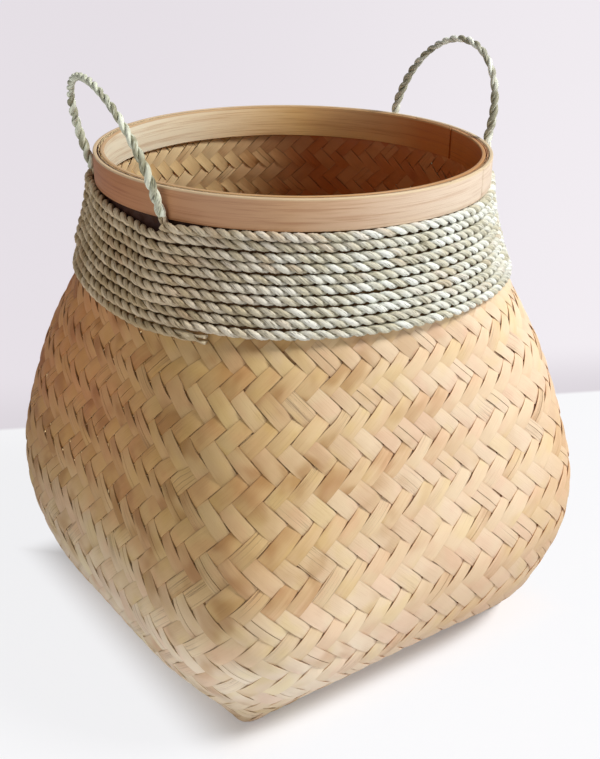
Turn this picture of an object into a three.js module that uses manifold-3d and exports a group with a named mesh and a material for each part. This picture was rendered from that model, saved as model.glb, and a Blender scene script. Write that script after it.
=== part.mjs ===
import * as THREE from 'three';
import { mergeVertices } from 'three/addons/utils/BufferGeometryUtils.js';
import Module from 'manifold-3d';

// Bamboo basket: a plaited body that rises from a square foot through a full belly to a round
// mouth. The mouth is held between two bent bamboo hoops, the neck is bound with one length of
// seagrass cord, and two cord loops tucked under the binding are the handles.
// Millimetres, +Z up. The origin is the middle of the foot, on the surface that it stands on.

const wasm = await Module();
wasm.setup();

const DEGREE = Math.PI / 180;

// Clearance between pieces that touch.
const FIT_GAP = 0.3;

// Mouth and hoops.
const RIM_RADIUS = 123;
const RIM_HEIGHT = 325;
const HOOP_THICKNESS = 2.3;
const OUTER_HOOP_DEPTH = 18;
const INNER_HOOP_DEPTH = 20.5;
const HOOP_LAP = 36;
const HOOP_LAP_STEP = 1.5;
const OUTER_HOOP_SEAM = 28 * DEGREE;
const INNER_HOOP_SEAM = 81 * DEGREE;
const HOOP_STEPS = 72;

// Seagrass cord, and its turns round the neck.
const CORD_RADIUS = 2.5;
const BINDING_TURNS = 10;
const BINDING_PITCH = 5.55;
const BINDING_SLACK = 0.4;
const CORD_SIDES = 6;
const LONGEST_STEP = 15.5 * DEGREE;
const CLIMB_STEPS = 3;

// Handles. Each swings about the line through its two feet, and was knotted by hand, so that they
// differ in where they stand, how far apart their feet are and how they hang.
const HANDLE_STRAIGHT_LEG = 18;
const HANDLE_FULLNESS = 2;
const HANDLE_HOOP_SLACK = 0.4;
const HANDLE_SIDES = 10;
const HANDLE_STEPS = 44;
const HANDLE_ARCH_POINTS = 16;
const HANDLE_FOOT_RINGS = 6;
const LEFT_LOOP = {
  bearing: 262.4 * DEGREE,
  halfSpread: 28.2 * DEGREE,
  rise: 67.5,
  lean: 16.5 * DEGREE,
  sway: 1.5,
};
const RIGHT_LOOP = {
  bearing: 88 * DEGREE,
  halfSpread: 22.5 * DEGREE,
  rise: 72.5,
  lean: 4 * DEGREE,
  sway: 14,
};

// Tucked ends of the handle cords, pressed flat under the binding.
const TUCKED_THICKNESS = 3.4;
const TUCKED_WIDTH = 6.2;
const TUCKED_LENGTH = 42;
const TUCKED_SIDES = 10;
const TUCKED_RINGS = 8;

// Plaited body.
const WEAVE_THICKNESS = 1.6;
const WEAVE_EDGE_DROP = 1;
const FOOT_FACE = 112;
const FOOT_CORNER = 156;
const HEEL_FACE = 125;
const HEEL_CORNER = 164;
const HEEL_HEIGHT = 15;
const LOW_FLANK_FACE = 146.5;
const LOW_FLANK_CORNER = 176;
const LOW_FLANK_HEIGHT = 38;
const FLANK_FACE = 154;
const FLANK_CORNER = 191;
const FLANK_HEIGHT = 76;
const BELLY_FACE = 150.5;
const BELLY_CORNER = 192;
const BELLY_HEIGHT = 114;
const LOW_SHOULDER_FACE = 146;
const LOW_SHOULDER_CORNER = 180.5;
const LOW_SHOULDER_HEIGHT = 157;
const SHOULDER_FACE = 141;
const SHOULDER_CORNER = 163;
const SHOULDER_HEIGHT = 202;
const FOOT_ARCH = 4.7;
const FOOT_ARCH_FADE = 60;
const FOOT_PAD_START = 0.93;
const FOOT_DIP_START = 0.45;
const FOOT_PAD_BREADTH = 1.06;
const CREASE_INSET = 0.45;
const NECK_FLARE = 12.5;
const NECK_MID_FLARE = 4.6;
const NECK_SQUARENESS = 2.5;
const NECK_STRAIGHT = 6;
const SHARPEST_CORNER = 0.49;
const BODY_STEPS = 64;
const WALL_RINGS = 20;
const FLOOR_RINGS = [0.25, FOOT_DIP_START, 0.7, 0.85, FOOT_PAD_START];

// Sizes that follow from the ones above.
const NECK_RADIUS = RIM_RADIUS - HOOP_THICKNESS - FIT_GAP;
const BINDING_TOP = RIM_HEIGHT - OUTER_HOOP_DEPTH - FIT_GAP;
const BINDING_DEPTH = (BINDING_TURNS - 1) * BINDING_PITCH + 2 * CORD_RADIUS;
const BINDING_BOTTOM = BINDING_TOP - BINDING_DEPTH;
const FOOT_RADIUS = RIM_RADIUS + FIT_GAP + HANDLE_HOOP_SLACK + CORD_RADIUS;
const SWING_HEIGHT = BINDING_TOP + FIT_GAP + CORD_RADIUS;

// The body's cross-sections from the foot up: half the width over the flat faces, the distance
// from the middle to a corner, and the height.
const BODY_SECTIONS = [
  { face: FOOT_FACE, corner: FOOT_CORNER, height: 0 },
  { face: HEEL_FACE, corner: HEEL_CORNER, height: HEEL_HEIGHT },
  { face: LOW_FLANK_FACE, corner: LOW_FLANK_CORNER, height: LOW_FLANK_HEIGHT },
  { face: FLANK_FACE, corner: FLANK_CORNER, height: FLANK_HEIGHT },
  { face: BELLY_FACE, corner: BELLY_CORNER, height: BELLY_HEIGHT },
  { face: LOW_SHOULDER_FACE, corner: LOW_SHOULDER_CORNER, height: LOW_SHOULDER_HEIGHT },
  { face: SHOULDER_FACE, corner: SHOULDER_CORNER, height: SHOULDER_HEIGHT },
  {
    face: NECK_RADIUS + NECK_FLARE,
    corner: NECK_RADIUS + NECK_FLARE + NECK_SQUARENESS,
    height: BINDING_BOTTOM,
  },
  {
    face: NECK_RADIUS + NECK_MID_FLARE,
    corner: NECK_RADIUS + NECK_MID_FLARE,
    height: (BINDING_TOP + BINDING_BOTTOM) / 2,
  },
  { face: NECK_RADIUS, corner: NECK_RADIUS, height: BINDING_TOP - NECK_STRAIGHT },
];

const wallCurve = new THREE.CatmullRomCurve3(
  BODY_SECTIONS.map(({ face, corner, height }) => new THREE.Vector3(face, corner, height)),
  false,
  'catmullrom',
);

const BAMBOO_WEAVE = new THREE.MeshStandardMaterial({ color: 0xd8b886, roughness: 0.62, metalness: 0 });
const BAMBOO_HOOP = new THREE.MeshStandardMaterial({ color: 0xe3c19a, roughness: 0.48, metalness: 0 });
const SEAGRASS = new THREE.MeshStandardMaterial({ color: 0xb7b08f, roughness: 0.85, metalness: 0 });

// Distance from the middle to the wall in one direction, for a rounded square that has the given
// half width at its faces and the given distance at its corners.
function roundedSquareRadius(angle, face, corner) {
  const squareness = Math.min(Math.log2(corner / face), SHARPEST_CORNER);
  const power = 1 / (0.5 - squareness);
  const across = Math.abs(Math.cos(angle)) ** power + Math.abs(Math.sin(angle)) ** power;
  return face / across ** (1 / power);
}

function polar(radius, angle, height) {
  return new THREE.Vector3(radius * Math.cos(angle), radius * Math.sin(angle), height);
}

// Outer radius of the wall at a height, found by halving the curve's span.
function wallRadius(angle, height) {
  let low = 0;
  let high = 1;
  for (let i = 0; i < 30; i += 1) {
    const middle = (low + high) / 2;
    if (wallCurve.getPoint(middle).z < height) {
      low = middle;
    } else {
      high = middle;
    }
  }
  const section = wallCurve.getPoint(low);
  return roundedSquareRadius(angle, section.x, section.y);
}

// Joins rings of points into one closed surface. Each ring runs anticlockwise about the way that
// the rings follow each other, and the first and last are closed by a fan.
function loft(rings) {
  const sides = rings[0].length;
  const positions = [];
  const indices = [];
  rings.forEach((ring) => ring.forEach((point) => positions.push(point.x, point.y, point.z)));
  for (let i = 0; i + 1 < rings.length; i += 1) {
    for (let j = 0; j < sides; j += 1) {
      const here = i * sides + j;
      const beside = i * sides + ((j + 1) % sides);
      indices.push(here, beside, beside + sides);
      indices.push(here, beside + sides, here + sides);
    }
  }
  const addFan = (ring, first, forward) => {
    const middle = ring.reduce((sum, point) => sum.add(point), new THREE.Vector3());
    middle.divideScalar(sides);
    const centre = positions.length / 3;
    positions.push(middle.x, middle.y, middle.z);
    for (let j = 0; j < sides; j += 1) {
      const here = first + j;
      const beside = first + ((j + 1) % sides);
      indices.push(centre, forward ? here : beside, forward ? beside : here);
    }
  };
  addFan(rings[0], 0, false);
  addFan(rings[rings.length - 1], (rings.length - 1) * sides, true);
  const geometry = new THREE.BufferGeometry();
  geometry.setAttribute('position', new THREE.Float32BufferAttribute(positions, 3));
  geometry.setIndex(indices);
  geometry.computeVertexNormals();
  return geometry;
}

// How much of a corner a direction is: 1 over each of the four pads, 0 halfway between them.
function cornerShare(angle) {
  return Math.min(1, FOOT_PAD_BREADTH * Math.sin(2 * angle) ** 2);
}

function ringOf(pointAt) {
  return Array.from({ length: BODY_STEPS }, (_, j) => pointAt((2 * Math.PI * j) / BODY_STEPS));
}

// The plaited body: a thin shell with a sunk corner pad at each corner of its square foot, arched
// edges between them and a plain round mouth.
function wovenBody() {
  const foot = BODY_SECTIONS[0];
  const floorRing = (share) => ringOf((angle) => {
    const radius = roundedSquareRadius(angle, foot.face, foot.corner) * share;
    const dip = THREE.MathUtils.smoothstep(share, FOOT_DIP_START, FOOT_PAD_START);
    return polar(radius, angle, FOOT_ARCH * (1 - cornerShare(angle) * dip));
  });
  const wallRing = (section) => ringOf((angle) => {
    const fade = Math.max(0, 1 - section.z / FOOT_ARCH_FADE);
    const lift = FOOT_ARCH * (1 - cornerShare(angle)) * fade;
    return polar(roundedSquareRadius(angle, section.x, section.y), angle, section.z + lift);
  });

  const floor = FLOOR_RINGS.map(floorRing);
  const wall = [];
  for (let i = 0; i <= WALL_RINGS; i += 1) {
    wall.push(wallRing(wallCurve.getPoint(i / WALL_RINGS)));
  }
  wall.push(ringOf((angle) => polar(NECK_RADIUS, angle, RIM_HEIGHT - WEAVE_EDGE_DROP)));

  const innerFloor = floor.map((ring) => ring.map(
    (point) => point.clone().add(new THREE.Vector3(0, 0, WEAVE_THICKNESS)),
  ));
  const innerWall = wall.map((ring, i) => ring.map((point, j) => {
    if (i === 0) {
      const inset = new THREE.Vector3(point.x, point.y, 0).setLength(CREASE_INSET * WEAVE_THICKNESS);
      return point.clone().sub(inset).add(new THREE.Vector3(0, 0, WEAVE_THICKNESS));
    }
    const above = wall[Math.min(i + 1, wall.length - 1)][j];
    const below = wall[i + 1 < wall.length ? i - 1 : i][j];
    const ahead = ring[(j + 1) % BODY_STEPS];
    const behind = ring[(j + BODY_STEPS - 1) % BODY_STEPS];
    const upward = i + 1 < wall.length ? above.clone().sub(below) : new THREE.Vector3(0, 0, 1);
    const outward = ahead.clone().sub(behind).cross(upward).setLength(WEAVE_THICKNESS);
    return point.clone().sub(outward);
  }));
  return loft([...floor, ...wall, ...innerWall.reverse(), ...innerFloor.reverse()]);
}

// A hoop bent from one strip. Its two ends are thinned to half and lie over one another with a
// visible seam, and the strip's ends keep their clearance all round the lap.
function lappedHoop(innerRadius, depth, lapStart) {
  const outerRadius = innerRadius + HOOP_THICKNESS;
  const tongue = (HOOP_THICKNESS - FIT_GAP) / 2;
  const lap = HOOP_LAP / outerRadius;
  const step = HOOP_LAP_STEP / outerRadius;
  const gap = FIT_GAP / innerRadius;
  const section = (angle, inner, outer) => [
    polar(inner, angle, RIM_HEIGHT),
    polar(outer, angle, RIM_HEIGHT),
    polar(outer, angle, RIM_HEIGHT - depth),
    polar(inner, angle, RIM_HEIGHT - depth),
  ];
  const run = (from, to, inner, outer) => {
    const count = Math.max(1, Math.round((HOOP_STEPS * (to - from)) / (2 * Math.PI)));
    return Array.from({ length: count + 1 }, (_, i) => (
      section(from + ((to - from) * i) / count, inner, outer)
    ));
  };
  const turn = lapStart + 2 * Math.PI;
  return loft([
    ...run(lapStart, lapStart + lap, innerRadius, innerRadius + tongue),
    ...run(lapStart + lap + step, turn - gap - step, innerRadius, outerRadius),
    ...run(turn - gap, turn + lap - gap, outerRadius - tongue, outerRadius),
  ]);
}

// The four places where a handle's foot dives under the binding, clockwise seen from above, and
// the steps that the binding takes from each to the next.
const FOOT_BEARINGS = [LEFT_LOOP, RIGHT_LOOP].flatMap(
  ({ bearing, halfSpread }) => [bearing + halfSpread, bearing - halfSpread],
);
const BINDING_STEPS = FOOT_BEARINGS.flatMap((bearing, i) => {
  const next = FOOT_BEARINGS[(i + 1) % FOOT_BEARINGS.length];
  const span = THREE.MathUtils.euclideanModulo(bearing - next, 2 * Math.PI);
  const count = Math.ceil(span / LONGEST_STEP);
  return Array.from({ length: count }, (_, step) => ({ angle: span / count, atFoot: step === 0 }));
});

// Centre line of the binding. It starts one step before the left handle's nearer foot, and each
// turn runs level, rises over the four tucked feet and climbs one pitch just past that foot.
function bindingLine() {
  const perTurn = BINDING_STEPS.length;
  const widest = Math.max(...BINDING_STEPS.map(({ angle: step }) => step));
  const firstLevel = BINDING_BOTTOM + CORD_RADIUS - BINDING_PITCH;
  const points = [];
  let angle = FOOT_BEARINGS[0] + BINDING_STEPS[perTurn - 1].angle;
  for (let i = 0; i <= BINDING_TURNS * perTurn + 1; i += 1) {
    const stepInTurn = (i - 1 + perTurn) % perTurn;
    const turn = Math.floor((i - 1) / perTurn);
    const climb = turn < 0 ? 0 : turn + Math.min(1, stepInTurn / CLIMB_STEPS);
    const height = firstLevel + BINDING_PITCH * climb;
    const { angle: step, atFoot } = BINDING_STEPS[stepInTurn];
    const overTucked = atFoot && height > BINDING_TOP - TUCKED_LENGTH - CORD_RADIUS - FIT_GAP;
    const bulge = overTucked ? TUCKED_THICKNESS + FIT_GAP : 0;
    const neck = wallRadius(angle, height) / (overTucked ? 1 : Math.cos(widest / 2));
    const slope = (wallRadius(angle, height - 1) - wallRadius(angle, height + 1)) / 2;
    const reach = CORD_RADIUS * Math.hypot(1, slope);
    points.push(polar(neck + BINDING_SLACK + bulge + reach, angle, height));
    angle -= step;
  }
  return points;
}

// The neck binding: one unbroken cord along its centre line.
function neckBinding() {
  const line = bindingLine();
  const up = new THREE.Vector3(0, 0, 1);
  const rings = line.map((point, i) => {
    const ahead = line[Math.min(i + 1, line.length - 1)];
    const behind = line[Math.max(i - 1, 0)];
    const along = ahead.clone().sub(behind).normalize();
    const outward = up.clone().cross(along).negate().normalize();
    const lift = along.clone().cross(outward);
    return Array.from({ length: CORD_SIDES }, (_, j) => {
      const turn = (2 * Math.PI * (j + 0.5)) / CORD_SIDES;
      return point.clone()
        .addScaledVector(outward, CORD_RADIUS * Math.cos(turn))
        .addScaledVector(lift, CORD_RADIUS * Math.sin(turn));
    });
  });
  console.log(`neck binding clears itself by ${leastGap(line).toFixed(2)} mm`);
  return loft(rings);
}

// Least clearance between one turn of the binding and the next, measured on points that are
// spread along the centre line.
function leastGap(line) {
  const spread = 4;
  const points = [];
  for (let i = 0; i + 1 < line.length; i += 1) {
    for (let j = 0; j < spread; j += 1) {
      points.push(line[i].clone().lerp(line[i + 1], j / spread));
    }
  }
  points.push(line[line.length - 1]);
  const halfTurn = (spread * (line.length - 1)) / BINDING_TURNS / 2;
  let least = Infinity;
  for (let i = 0; i < points.length; i += 1) {
    for (let j = i + Math.floor(halfTurn); j < points.length; j += 1) {
      least = Math.min(least, points[i].distanceTo(points[j]));
    }
  }
  return least - 2 * CORD_RADIUS;
}

// A handle's cord end under the binding: pressed flat, and lying along the sloping neck.
function tuckedEnd(bearing) {
  const rings = [];
  for (let i = 0; i <= TUCKED_RINGS; i += 1) {
    const height = BINDING_TOP - TUCKED_LENGTH * (1 - i / TUCKED_RINGS);
    const middle = wallRadius(bearing, height) + FIT_GAP + TUCKED_THICKNESS / 2;
    const radial = polar(1, bearing, 0);
    const sideways = polar(1, bearing + Math.PI / 2, 0);
    rings.push(Array.from({ length: TUCKED_SIDES }, (_, j) => {
      const turn = (2 * Math.PI * j) / TUCKED_SIDES;
      return polar(middle, bearing, height)
        .addScaledVector(radial, (TUCKED_THICKNESS / 2) * Math.cos(turn))
        .addScaledVector(sideways, (TUCKED_WIDTH / 2) * Math.sin(turn));
    }));
  }
  return loft(rings);
}

// A handle loop in its own plane: X runs from foot to foot and Z rises from the swing line.
function loopCurve({ halfSpread, rise, sway }) {
  const halfSpan = FOOT_RADIUS * Math.sin(halfSpread);
  const archRise = rise - HANDLE_STRAIGHT_LEG;
  const points = [new THREE.Vector3(-halfSpan, 0, 0)];
  for (let i = 0; i <= HANDLE_ARCH_POINTS; i += 1) {
    const turn = (Math.PI * i) / HANDLE_ARCH_POINTS;
    const across = -Math.sign(Math.cos(turn)) * Math.abs(Math.cos(turn)) ** (2 / HANDLE_FULLNESS);
    const up = Math.sin(turn) ** (2 / HANDLE_FULLNESS);
    points.push(new THREE.Vector3(
      halfSpan * across + sway * up,
      0,
      HANDLE_STRAIGHT_LEG + archRise * up,
    ));
  }
  points.push(new THREE.Vector3(halfSpan, 0, 0));
  return new THREE.CatmullRomCurve3(points);
}

function solidOf(geometry) {
  const bare = geometry.clone();
  bare.deleteAttribute('normal');
  bare.deleteAttribute('uv');
  const welded = mergeVertices(bare, 1e-4);
  return new wasm.Manifold(new wasm.Mesh({
    numProp: 3,
    vertProperties: welded.attributes.position.array,
    triVerts: Uint32Array.from(welded.index.array),
  }));
}

function geometryOf(solid) {
  const mesh = solid.getMesh();
  const geometry = new THREE.BufferGeometry();
  geometry.setAttribute('position', new THREE.Float32BufferAttribute(mesh.vertProperties, 3));
  geometry.setIndex(Array.from(mesh.triVerts));
  geometry.computeVertexNormals();
  return geometry;
}

// A handle loop: round cord swept along its curve, with a rounded foot at each end that turns on
// top of the binding.
function handleLoop(shape) {
  const curve = loopCurve(shape);
  const outline = Array.from({ length: HANDLE_SIDES }, (_, j) => {
    const turn = (2 * Math.PI * j) / HANDLE_SIDES;
    return new THREE.Vector2(CORD_RADIUS * Math.cos(turn), CORD_RADIUS * Math.sin(turn));
  });
  const cord = new THREE.ExtrudeGeometry(new THREE.Shape(outline), {
    steps: HANDLE_STEPS,
    bevelEnabled: false,
    extrudePath: curve,
  });
  let solid = solidOf(cord);
  [0, 1].forEach((end) => {
    const { x, y, z } = curve.getPoint(end);
    const foot = new THREE.SphereGeometry(CORD_RADIUS, HANDLE_SIDES, HANDLE_FOOT_RINGS);
    solid = solid.add(solidOf(foot.translate(x, y, z)));
  });
  return geometryOf(solid);
}

function piece(name, geometry, material) {
  const mesh = new THREE.Mesh(geometry, material);
  mesh.name = name;
  return mesh;
}

// A handle hung on its swing line and leaned outward by its own angle.
function hungHandle(name, shape) {
  const { bearing, halfSpread } = shape;
  const mesh = piece(name, handleLoop(shape), SEAGRASS);
  mesh.rotation.x = -shape.lean;
  const swing = new THREE.Group();
  swing.position.copy(polar(FOOT_RADIUS * Math.cos(halfSpread), bearing, SWING_HEIGHT));
  swing.rotation.z = bearing - Math.PI / 2;
  swing.add(mesh);
  return swing;
}

const basket = new THREE.Group();
basket.add(piece('woven_body', wovenBody(), BAMBOO_WEAVE));
basket.add(piece('outer_hoop', lappedHoop(
  RIM_RADIUS - HOOP_THICKNESS,
  OUTER_HOOP_DEPTH,
  OUTER_HOOP_SEAM - HOOP_LAP / RIM_RADIUS,
), BAMBOO_HOOP));
basket.add(piece('inner_hoop', lappedHoop(
  NECK_RADIUS - WEAVE_THICKNESS - FIT_GAP - HOOP_THICKNESS,
  INNER_HOOP_DEPTH,
  INNER_HOOP_SEAM,
), BAMBOO_HOOP));
basket.add(piece('neck_binding', neckBinding(), SEAGRASS));
basket.add(hungHandle('left_handle', LEFT_LOOP));
basket.add(hungHandle('right_handle', RIGHT_LOOP));
const FOOT_NAMES = ['left_handle_near', 'left_handle_far', 'right_handle_far', 'right_handle_near'];
FOOT_NAMES.forEach((name, i) => {
  basket.add(piece(`${name}_tucked_end`, tuckedEnd(FOOT_BEARINGS[i]), SEAGRASS));
});

export default basket;
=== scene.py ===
"""Bamboo basket: a plaited body, bent hoops, a neck bound in twisted cord, and two cord loops."""

import logging
import math
from dataclasses import dataclass, field
from enum import Enum

import bmesh
import bpy
import numpy as np
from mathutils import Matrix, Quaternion, Vector


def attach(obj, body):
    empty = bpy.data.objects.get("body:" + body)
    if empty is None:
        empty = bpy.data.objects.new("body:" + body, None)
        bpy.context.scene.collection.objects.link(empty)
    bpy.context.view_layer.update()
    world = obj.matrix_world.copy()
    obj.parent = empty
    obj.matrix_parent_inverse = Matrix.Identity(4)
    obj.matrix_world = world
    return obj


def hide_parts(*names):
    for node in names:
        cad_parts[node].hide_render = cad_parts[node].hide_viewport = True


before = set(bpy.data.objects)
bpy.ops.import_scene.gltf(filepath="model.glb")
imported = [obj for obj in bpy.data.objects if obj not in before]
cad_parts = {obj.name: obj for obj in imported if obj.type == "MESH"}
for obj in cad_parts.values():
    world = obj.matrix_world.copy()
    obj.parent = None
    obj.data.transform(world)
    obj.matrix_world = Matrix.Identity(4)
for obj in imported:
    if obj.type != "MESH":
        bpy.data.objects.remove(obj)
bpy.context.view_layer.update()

MM = 0.001
TURN = 2 * math.pi

# Bearing from the basket's middle to the camera, in degrees
VIEW_BEARING = -35.742

UP = np.array([0.0, 0.0, 1.0])

# Where the handles' feet stand, in millimetres and degrees
FOOT_RADIUS = 126.2
SWING_HEIGHT = 309.5
FEET = {
    "left_handle_near_tucked_end": 290.6,
    "left_handle_far_tucked_end": 234.2,
    "right_handle_far_tucked_end": 110.5,
    "right_handle_near_tucked_end": 65.5,
}

# What each mesh carries at its corners and vertices: the place on its strip or strand, the number
# that its colour is drawn from, how much it rises to the left and how much it faces inwards
LAY_MAP = "lay"
TONE = "tone"
RISING = "rising"
INSIDE = "inside"

Colour = tuple[float, float, float, float]
WHITE = (1.0, 1.0, 1.0, 1.0)

log = logging.getLogger("basket")


# Small helpers for numbers


def tint(red: int, green: int, blue: int) -> Colour:
    """Turns a colour as a screen shows it into the shader's own scale.

    Args:
        red: Red, 0 to 255.
        green: Green, 0 to 255.
        blue: Blue, 0 to 255.

    Returns:
        The colour in linear light, with full alpha.
    """

    def linear(level: int) -> float:
        """One channel in linear light."""
        share = level / 255
        return share / 12.92 if share <= 0.04045 else ((share + 0.055) / 1.055) ** 2.4

    return (linear(red), linear(green), linear(blue), 1.0)


def smooth_step(share: np.ndarray) -> np.ndarray:
    """Eases from 0 to 1.

    Args:
        share: Values that are cut to the span from 0 to 1.

    Returns:
        The eased values.
    """
    cut = np.clip(share, 0, 1)
    return cut * cut * (3 - 2 * cut)


def wander(
    chance: np.random.Generator, places: np.ndarray, spacing: float, reach: float
) -> np.ndarray:
    """A hand's unevenness: a smooth random wave over the given places.

    Args:
        chance: The seeded source of chance.
        places: Where the wave is read, rising or falling.
        spacing: Distance from one random knot to the next.
        reach: Largest height of the wave.

    Returns:
        One value for each place.
    """
    low, high = float(places.min()), float(places.max())
    knots = np.arange(low - spacing, high + 3 * spacing, spacing)
    heights = chance.uniform(-reach, reach, len(knots))
    position = (places - knots[0]) / spacing
    left = np.clip(position.astype(int), 0, len(knots) - 2)
    ease = smooth_step(position - left)
    return heights[left] * (1 - ease) + heights[left + 1] * ease


def unit(vectors: np.ndarray) -> np.ndarray:
    """Vectors of length 1 along the given ones.

    Args:
        vectors: Vectors in the last axis.

    Returns:
        The same directions with length 1.
    """
    return vectors / np.maximum(np.linalg.norm(vectors, axis=-1, keepdims=True), 1e-12)


def heading(degrees: float) -> np.ndarray:
    """The level direction of a bearing, as x, y and z."""
    return np.array([math.cos(math.radians(degrees)), math.sin(math.radians(degrees)), 0.0])


def around(radius: np.ndarray, angle: np.ndarray, height: np.ndarray) -> np.ndarray:
    """Points round the upright axis, from radii, bearings in radians and heights."""
    return np.stack([radius * np.cos(angle), radius * np.sin(angle), height], axis=-1)


def running_total(steps: np.ndarray) -> np.ndarray:
    """Sums from 0 up to and past each step."""
    return np.concatenate([[0], np.cumsum(steps)])


def run_along(line: np.ndarray) -> np.ndarray:
    """How far along a line each of its points lies."""
    return running_total(np.linalg.norm(np.diff(line, axis=0), axis=1))


def soften(values: np.ndarray, times: int = 1) -> np.ndarray:
    """Blends each row with its neighbours, and leaves the two ends.

    Args:
        values: The rows.
        times: How often.

    Returns:
        The blended rows.
    """
    for _ in range(times):
        blended = values.copy()
        blended[1:-1] = (values[:-2] + 2 * values[1:-1] + values[2:]) / 4
        values = blended
    return values


# Shader writing


class Term:
    """A shader socket that takes part in arithmetic, each operator adding its Math node."""

    def __init__(self, bench: "ShaderBench", socket: bpy.types.NodeSocket) -> None:
        """Keeps the socket and the bench that it stands on."""
        self.bench = bench
        self.socket = socket

    def _math(self, operation: str, first: "Term | float", second: "Term | float") -> "Term":
        """Adds one Math node."""
        return self.bench.node("ShaderNodeMath", {"operation": operation}, {0: first, 1: second})

    def __add__(self, other: "Term | float") -> "Term":
        """This and the other."""
        return self._math("ADD", self, other)

    def __radd__(self, other: float) -> "Term":
        """The other and this."""
        return self._math("ADD", other, self)

    def __sub__(self, other: "Term | float") -> "Term":
        """This less the other."""
        return self._math("SUBTRACT", self, other)

    def __rsub__(self, other: float) -> "Term":
        """The other less this."""
        return self._math("SUBTRACT", other, self)

    def __mul__(self, other: "Term | float") -> "Term":
        """This times the other."""
        return self._math("MULTIPLY", self, other)

    def __rmul__(self, other: float) -> "Term":
        """The other times this."""
        return self._math("MULTIPLY", other, self)

    def __pow__(self, other: "Term | float") -> "Term":
        """This to the power of the other."""
        return self._math("POWER", self, other)

    def larger(self, other: "Term") -> "Term":
        """The larger of this and the other."""
        return self._math("MAXIMUM", self, other)

    def beside(self, output: int | str) -> "Term":
        """Another output of this term's node."""
        return Term(self.bench, self.socket.node.outputs[output])


class ShaderBench:
    """Writes one node tree, for a material or the world."""

    def __init__(self, tree: bpy.types.NodeTree) -> None:
        """Empties the tree."""
        self.tree = tree
        self.tree.nodes.clear()

    def node(
        self,
        kind: str,
        settings: dict[str, object] | None = None,
        inputs: "dict[int | str, Term | float | tuple] | None" = None,
        output: int | str = 0,
    ) -> Term:
        """Adds one node.

        Args:
            kind: The node's type.
            settings: Its own settings; "stops" are a colour ramp's places and colours.
            inputs: Values or terms for its sockets, by index or name.
            output: The socket that is wanted.

        Returns:
            The wanted output.
        """
        made = self.tree.nodes.new(kind)
        for name, value in (settings or {}).items():
            if name == "stops":
                self._set_stops(made.color_ramp, value)
            else:
                setattr(made, name, value)
        for name, value in (inputs or {}).items():
            if isinstance(value, Term):
                self.tree.links.new(value.socket, made.inputs[name])
            else:
                made.inputs[name].default_value = value
        return Term(self, made.outputs[output] if len(made.outputs) else None)

    @staticmethod
    def _set_stops(ramp: bpy.types.ColorRamp, stops: list[tuple[float, Colour]]) -> None:
        """Gives a ramp its places and colours."""
        while len(ramp.elements) < len(stops):
            ramp.elements.new(0.5)
        for element, (place, colour) in zip(ramp.elements, stops):
            element.position = place
            element.color = colour

    def blend(
        self,
        share: "Term | float",
        first: "Term | Colour",
        second: "Term | Colour",
        how: str = "MIX",
    ) -> Term:
        """Mixes two colours.

        Args:
            share: How much of the second.
            first: The first colour.
            second: The second colour.
            how: The Mix node's way of blending.

        Returns:
            The mixed colour.
        """
        settings = {"data_type": "RGBA", "blend_type": how, "clamp_factor": True}
        return self.node("ShaderNodeMix", settings, {0: share, 6: first, 7: second}, 2)

    def shade(self, colour: Term, share: "Term | float", by: Colour) -> Term:
        """Multiplies a colour by a tint, as far as the share says."""
        return self.blend(1.0, colour, self.blend(share, WHITE, by), "MULTIPLY")

    def within(self, value: Term, low: float, high: float) -> Term:
        """Spreads the span from low to high over 0 to 1, and cuts what lies outside.

        Args:
            value: The term to spread.
            low: What becomes 0.
            high: What becomes 1.

        Returns:
            The spread term.
        """
        settings = {"interpolation_type": "SMOOTHSTEP"}
        inputs = {0: value, 1: low, 2: high, 3: 0.0, 4: 1.0}
        return self.node("ShaderNodeMapRange", settings, inputs)

    def noise(
        self, place: Term, scale: float = 1.0, detail: float = 2.0, roughness: float = 0.5
    ) -> Term:
        """Plain noise from 0 to 1.

        Args:
            place: Where it is read.
            scale: How fine it is.
            detail: How many finer layers it has.
            roughness: How strong those are.

        Returns:
            The noise.
        """
        return self.node(
            "ShaderNodeTexNoise",
            {"noise_dimensions": "3D"},
            {"Vector": place, "Scale": scale, "Detail": detail, "Roughness": roughness},
        )

    def point(self, x: "Term | float", y: "Term | float", z: "Term | float") -> Term:
        """A vector from three terms."""
        return self.node("ShaderNodeCombineXYZ", {}, {0: x, 1: y, 2: z})

    def attribute(self, name: str) -> Term:
        """A number that the mesh carries at its vertices."""
        settings = {"attribute_type": "GEOMETRY", "attribute_name": name}
        return self.node("ShaderNodeAttribute", settings, {}, "Fac")

    def place(self) -> Term:
        """Where a point lies on its object, in metres."""
        return self.node("ShaderNodeTexCoord", {}, {}, "Object")

    def vector(self, operation: str, first: Term, second: tuple, output: int | str = 0) -> Term:
        """Adds one Vector Math node."""
        settings = {"operation": operation}
        return self.node("ShaderNodeVectorMath", settings, {0: first, 1: second}, output)

    def spot(self) -> tuple[Term, ...]:
        """Where a point lies as the photograph shows it, whatever the camera does.

        Returns:
            Metres to the right, metres to the back and metres above the floor.
        """
        place = self.place()
        ways = (heading(VIEW_BEARING + 90), -heading(VIEW_BEARING), UP)
        return tuple(self.vector("DOT_PRODUCT", place, tuple(way), "Value") for way in ways)

    def lay(self) -> tuple[Term, Term]:
        """Reads the mesh's own UV map.

        Returns:
            Place across the strip or strand, and place along it.
        """
        spot = self.node("ShaderNodeUVMap", {"uv_map": LAY_MAP})
        split = self.node("ShaderNodeSeparateXYZ", {}, {0: spot})
        return split, split.beside(1)


def surface(name: str) -> tuple[bpy.types.Material, ShaderBench]:
    """Starts an empty material.

    Args:
        name: The material's name.

    Returns:
        The material and the bench on which its nodes are written.
    """
    material = bpy.data.materials.new(name)
    material.use_nodes = True
    return material, ShaderBench(material.node_tree)


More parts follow.
